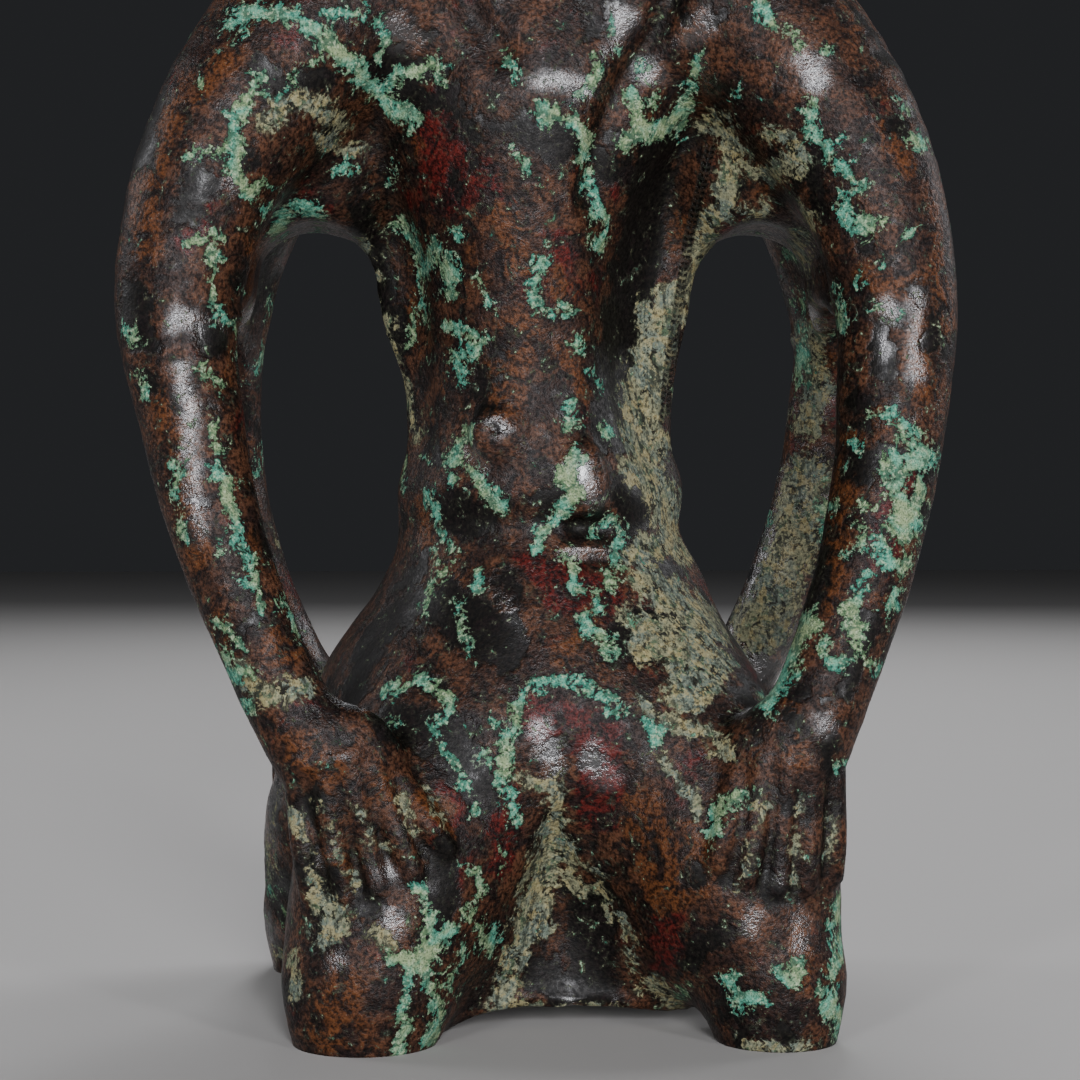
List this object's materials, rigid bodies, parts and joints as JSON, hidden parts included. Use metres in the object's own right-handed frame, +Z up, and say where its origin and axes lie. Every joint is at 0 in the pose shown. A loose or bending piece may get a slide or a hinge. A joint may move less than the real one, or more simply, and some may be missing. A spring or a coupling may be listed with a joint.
{
  "type": "kneeling figure statuette",
  "caption": "Small cast bronze statuette of kneeling figures joined back to back, arms bowed out with hands on the thighs, resting level on the knees.",
  "frame": {"origin": "on the ground, below the middle of the casting's bounding box", "axes": "+Z up, the front figure faces -Y, +X to its left hand side as the viewer's right"},
  "size_m": [0.1194, 0.0772, 0.21],
  "materials": {
    "patinated_bronze": "old cast bronze, dark brown with green patina, semi-gloss where handled"
  },
  "bodies": {
    "root": {"kneeling_figure": "patinated_bronze"}
  },
  "joints": []
}
